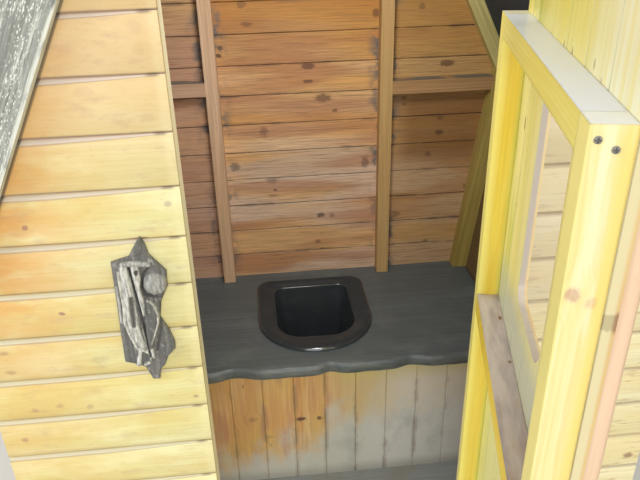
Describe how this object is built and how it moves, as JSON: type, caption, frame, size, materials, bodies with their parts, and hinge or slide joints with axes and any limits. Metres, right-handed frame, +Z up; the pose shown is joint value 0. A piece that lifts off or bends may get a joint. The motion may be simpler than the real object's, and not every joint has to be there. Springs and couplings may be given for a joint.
{
  "type": "wooden outhouse",
  "caption": "Small wooden outhouse with leaning side walls, a steep roof, a hinged door with a window, and a bench with a black seat inside.",
  "frame": {"origin": "on the ground under the middle of the base", "axes": "+X to the right seen from the front, +Y from the doorway into the building, +Z up"},
  "size_m": [1.4396, 1.5863, 2.6114],
  "materials": {
    "pine_cladding": "varnished pine lining boards, satin",
    "inner_pine": "orange-brown varnished pine",
    "frame_timber": "planed and varnished pine timber",
    "base_timber": "dark rough timber",
    "floor_timber": "grey dirty floor boards",
    "weathered_board": "bare grey weathered boards with pale lichen",
    "roof_timber": "weathered grey boards",
    "bench_stain": "black stained planed board, satin",
    "bench_boards": "pine boards, dusty grey low down",
    "seat_plastic": "glossy black plastic",
    "door_timber": "varnished yellow pine",
    "black_iron": "black painted steel",
    "driftwood": "silver-grey driftwood"
  },
  "bodies": {
    "cabin": {"base_beam_left": "base_timber", "base_beam_middle": "base_timber", "base_beam_right": "base_timber", "floor": "floor_timber", "door_post_left": "frame_timber", "door_post_right": "frame_timber", "door_header": "frame_timber", "back_post_left": "frame_timber", "back_post_right": "frame_timber", "corner_post_front_left": "frame_timber", "corner_post_front_right": "frame_timber", "corner_post_back_left": "frame_timber", "corner_post_back_right": "frame_timber", "shoulder_rail_left": "frame_timber", "shoulder_rail_right": "frame_timber", "rafter_front_left": "frame_timber", "rafter_front_right": "frame_timber", "rafter_back_left": "frame_timber", "rafter_back_right": "frame_timber", "front_wall_left": "pine_cladding", "front_wall_right": "pine_cladding", "front_sill": "pine_cladding", "front_gable": "pine_cladding", "back_wall": "inner_pine", "side_wall_left": "inner_pine", "side_wall_right": "inner_pine", "roof_left": "roof_timber", "roof_right": "roof_timber", "ridge_cap": "weathered_board", "barge_board_front_left": "weathered_board", "barge_board_front_right": "weathered_board", "barge_board_back_left": "weathered_board", "barge_board_back_right": "weathered_board", "bench_top": "bench_stain", "bench_front": "bench_boards", "bench_bearer_front": "frame_timber", "bench_bearer_back": "frame_timber", "seat_insert": "seat_plastic", "hinge_wall_leaf_upper": "black_iron", "hinge_wall_leaf_lower": "black_iron", "driftwood_plaque": "driftwood"},
    "door": {"door_stile_hinge": "door_timber", "door_stile_free": "door_timber", "door_rail_upper": "door_timber", "door_rail_middle": "door_timber", "door_rail_lower": "door_timber", "door_boards": "pine_cladding", "door_trim_hinge": "pine_cladding", "door_trim_free": "pine_cladding", "door_handle": "black_iron", "hinge_door_leaf_upper": "black_iron", "hinge_door_leaf_lower": "black_iron"}
  },
  "joints": [
    {"name": "door_hinge", "type": "hinge", "parent": "cabin", "child": "door", "pos_m": [0.309, -0.521, 0.125], "axis": [0, 0, 1], "range_deg": [-77, 80]}
  ]
}
